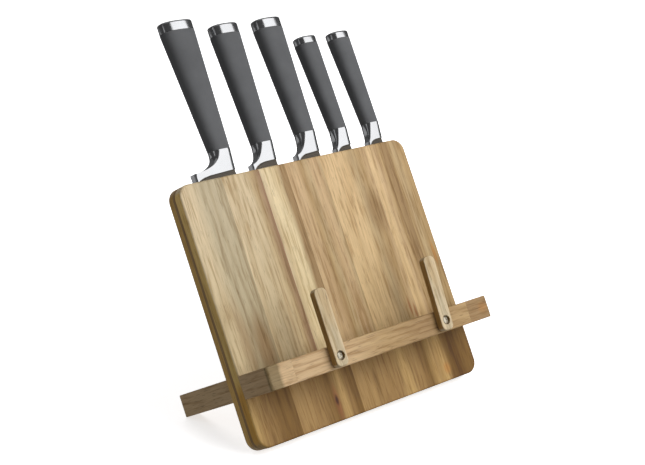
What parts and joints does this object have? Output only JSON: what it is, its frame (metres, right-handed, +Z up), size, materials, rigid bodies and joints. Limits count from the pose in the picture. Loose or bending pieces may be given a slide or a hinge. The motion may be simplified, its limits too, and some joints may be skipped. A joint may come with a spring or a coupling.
{
  "type": "knife block with book ledge",
  "caption": "Slim leaning wooden knife block with a book ledge, pivoting page arms, two legs and soft-grip kitchen knives in its top edge.",
  "frame": {"origin": "centre of the bounding box's bottom face, on the table, with all knives in their slots and both page arms up", "axes": "+Z up, front of the block towards -Y, block leans back towards +Y, +X to the right seen from the front"},
  "size_m": [0.277, 0.2191, 0.3541],
  "materials": {
    "front_wood": "satin oiled acacia, each stave its own tone",
    "back_wood": "satin oiled acacia",
    "core_wood": "planed acacia, glued",
    "ledge_wood": "satin oiled acacia",
    "leg_wood": "satin oiled acacia, dark",
    "dowel_wood": "raw",
    "arm_wood": "satin oiled acacia",
    "screw_steel": "nickel plated",
    "washer_plastic": "matte",
    "blade_steel": "fine brushed",
    "bolster_steel": "polished steel",
    "cap_steel": "polished steel",
    "grip_rubber": "matte soft touch"
  },
  "bodies": {
    "block": {"front_stave_1": "front_wood", "front_stave_2": "front_wood", "front_stave_3": "front_wood", "front_stave_4": "front_wood", "front_stave_5": "front_wood", "front_stave_6": "front_wood", "front_stave_7": "front_wood", "back_stave_1": "back_wood", "back_stave_2": "back_wood", "back_stave_3": "back_wood", "back_stave_4": "back_wood", "back_stave_5": "back_wood", "back_stave_6": "back_wood", "slot_spacer_1": "core_wood", "slot_spacer_2": "core_wood", "slot_spacer_3": "core_wood", "slot_spacer_4": "core_wood", "slot_spacer_5": "core_wood", "slot_spacer_6": "core_wood", "bottom_spacer": "core_wood", "utility_slot_stop": "core_wood", "paring_slot_stop": "core_wood", "ledge_front_bar": "ledge_wood", "ledge_shelf": "ledge_wood", "left_leg": "leg_wood", "right_leg": "leg_wood", "ledge_dowels": "dowel_wood", "left_pivot_screw": "screw_steel", "right_pivot_screw": "screw_steel", "pivot_washers": "washer_plastic"},
    "chef_knife": {"chef_blade": "blade_steel", "chef_bolster": "bolster_steel", "chef_grip": "grip_rubber", "chef_end_cap": "cap_steel"},
    "bread_knife": {"bread_blade": "blade_steel", "bread_bolster": "bolster_steel", "bread_grip": "grip_rubber", "bread_end_cap": "cap_steel"},
    "carving_knife": {"carving_blade": "blade_steel", "carving_bolster": "bolster_steel", "carving_grip": "grip_rubber", "carving_end_cap": "cap_steel"},
    "utility_knife": {"utility_blade": "blade_steel", "utility_bolster": "bolster_steel", "utility_grip": "grip_rubber", "utility_end_cap": "cap_steel"},
    "paring_knife": {"paring_blade": "blade_steel", "paring_bolster": "bolster_steel", "paring_grip": "grip_rubber", "paring_end_cap": "cap_steel"},
    "left_arm": {"left_page_arm": "arm_wood"},
    "right_arm": {"right_page_arm": "arm_wood"}
  },
  "joints": [
    {"name": "chef_knife_slide", "type": "slide", "parent": "block", "child": "chef_knife", "axis": [0, 0.4617, 0.887], "range_m": [0, 0.215]},
    {"name": "bread_knife_slide", "type": "slide", "parent": "block", "child": "bread_knife", "axis": [0, 0.4617, 0.887], "range_m": [0, 0.215]},
    {"name": "carving_knife_slide", "type": "slide", "parent": "block", "child": "carving_knife", "axis": [0, 0.4617, 0.887], "range_m": [0, 0.215]},
    {"name": "utility_knife_slide", "type": "slide", "parent": "block", "child": "utility_knife", "axis": [0, 0.4617, 0.887], "range_m": [0, 0.14]},
    {"name": "paring_knife_slide", "type": "slide", "parent": "block", "child": "paring_knife", "axis": [0, 0.4617, 0.887], "range_m": [0, 0.105]},
    {"name": "left_arm_pivot", "type": "hinge", "parent": "block", "child": "left_arm", "pos_m": [-0.062, -0.1019, 0.07943], "axis": [0, -0.887, 0.4617], "continuous": true},
    {"name": "right_arm_pivot", "type": "hinge", "parent": "block", "child": "right_arm", "pos_m": [0.072, -0.1019, 0.07943], "axis": [0, -0.887, 0.4617], "continuous": true}
  ]
}
